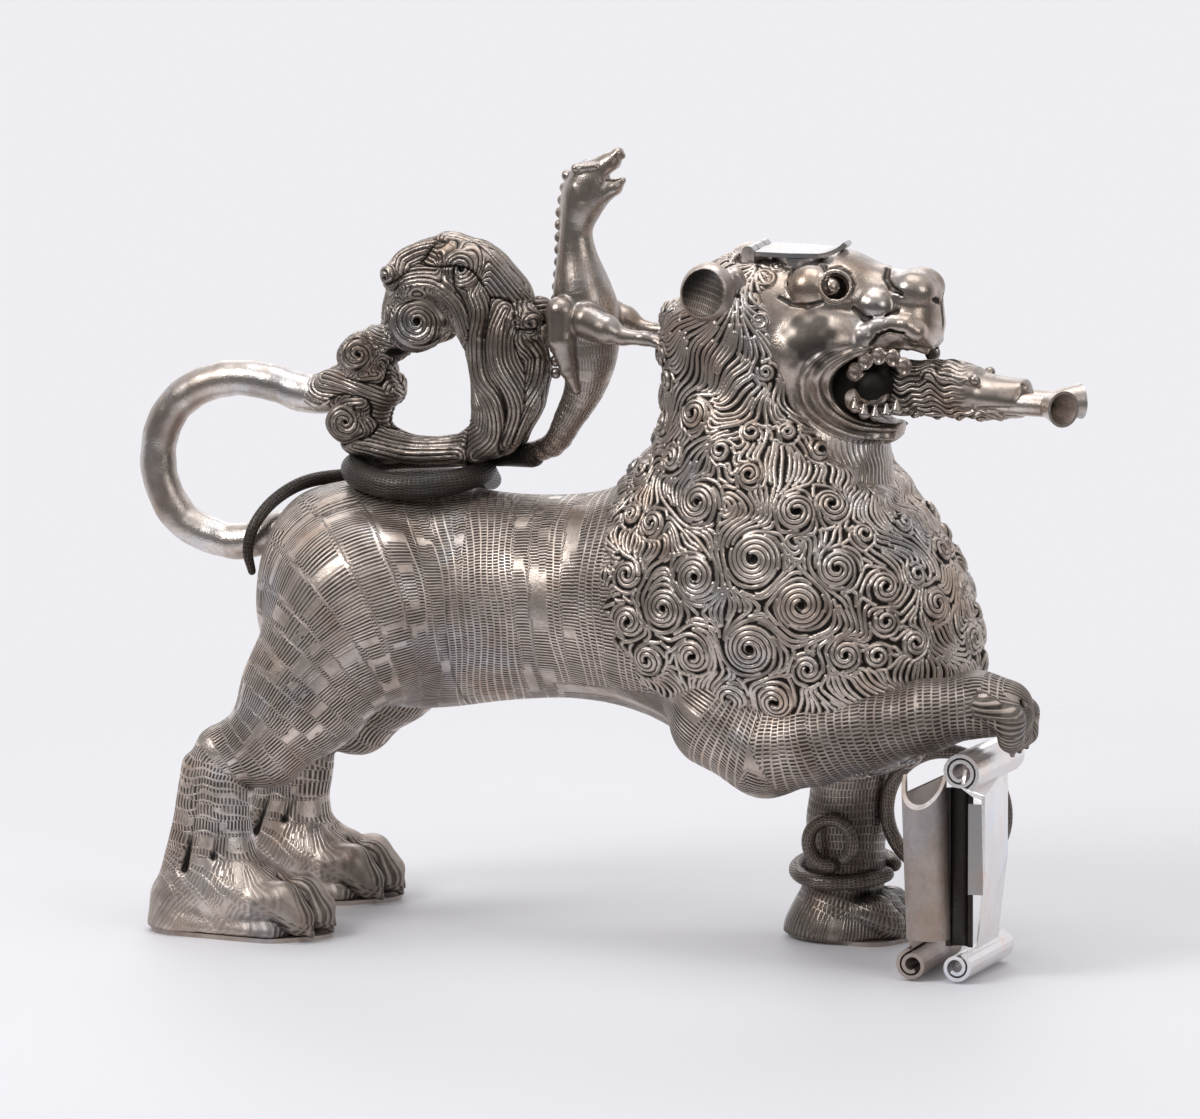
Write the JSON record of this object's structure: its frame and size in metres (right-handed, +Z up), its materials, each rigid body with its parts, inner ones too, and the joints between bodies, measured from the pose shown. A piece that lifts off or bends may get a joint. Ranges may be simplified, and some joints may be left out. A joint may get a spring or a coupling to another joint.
{
  "type": "lion aquamanile",
  "caption": "Silver pouring vessel shaped as a standing lion, with a hinged lid on its crown, a beast-headed spout, a wyvern on its back and a paw on a scrolled shield.",
  "frame": {"origin": "on the ground, under the middle of the whole part's length and width", "axes": "+X towards the lion's nose and spout, +Y to its left side, +Z up"},
  "size_m": [0.2178, 0.073, 0.1751],
  "materials": {
    "oxidised_silver": "cast and chased silver, dark in the recesses",
    "bright_silver": "smooth worn sheet silver",
    "dark_silver": "blackened silver"
  },
  "bodies": {
    "vessel": {"hindquarters_shell": "oxidised_silver", "forequarters_shell": "oxidised_silver", "head_shell": "oxidised_silver", "right_ear": "oxidised_silver", "left_ear": "oxidised_silver", "mouth_plug": "dark_silver", "right_hind_leg": "oxidised_silver", "left_hind_leg": "oxidised_silver", "right_foreleg": "oxidised_silver", "left_foreleg": "oxidised_silver", "right_hind_sole": "dark_silver", "left_hind_sole": "dark_silver", "left_fore_sole": "dark_silver", "tail": "oxidised_silver", "tail_tuft": "oxidised_silver", "wyvern_body": "oxidised_silver", "wyvern_right_wing": "oxidised_silver", "wyvern_left_wing": "oxidised_silver", "wyvern_right_leg": "oxidised_silver", "wyvern_left_leg": "oxidised_silver", "wyvern_tail_coil": "oxidised_silver", "spout_mask": "oxidised_silver", "right_spout_pipe": "bright_silver", "left_spout_pipe": "bright_silver", "filler_rim": "bright_silver", "hinge_bracket": "bright_silver", "hinge_pin": "bright_silver", "shield_front": "bright_silver", "shield_rear": "bright_silver", "shield_strap": "dark_silver", "serpent_ring": "oxidised_silver", "serpent_band": "oxidised_silver", "serpent_curl": "oxidised_silver"},
    "lid": {"lid_plate": "bright_silver", "lid_knuckle": "bright_silver"}
  },
  "joints": [
    {"name": "lid_hinge", "type": "hinge", "parent": "vessel", "child": "lid", "pos_m": [0.03412, 0, 0.1543], "axis": [0, -1, 0], "range_deg": [0, 105]}
  ]
}
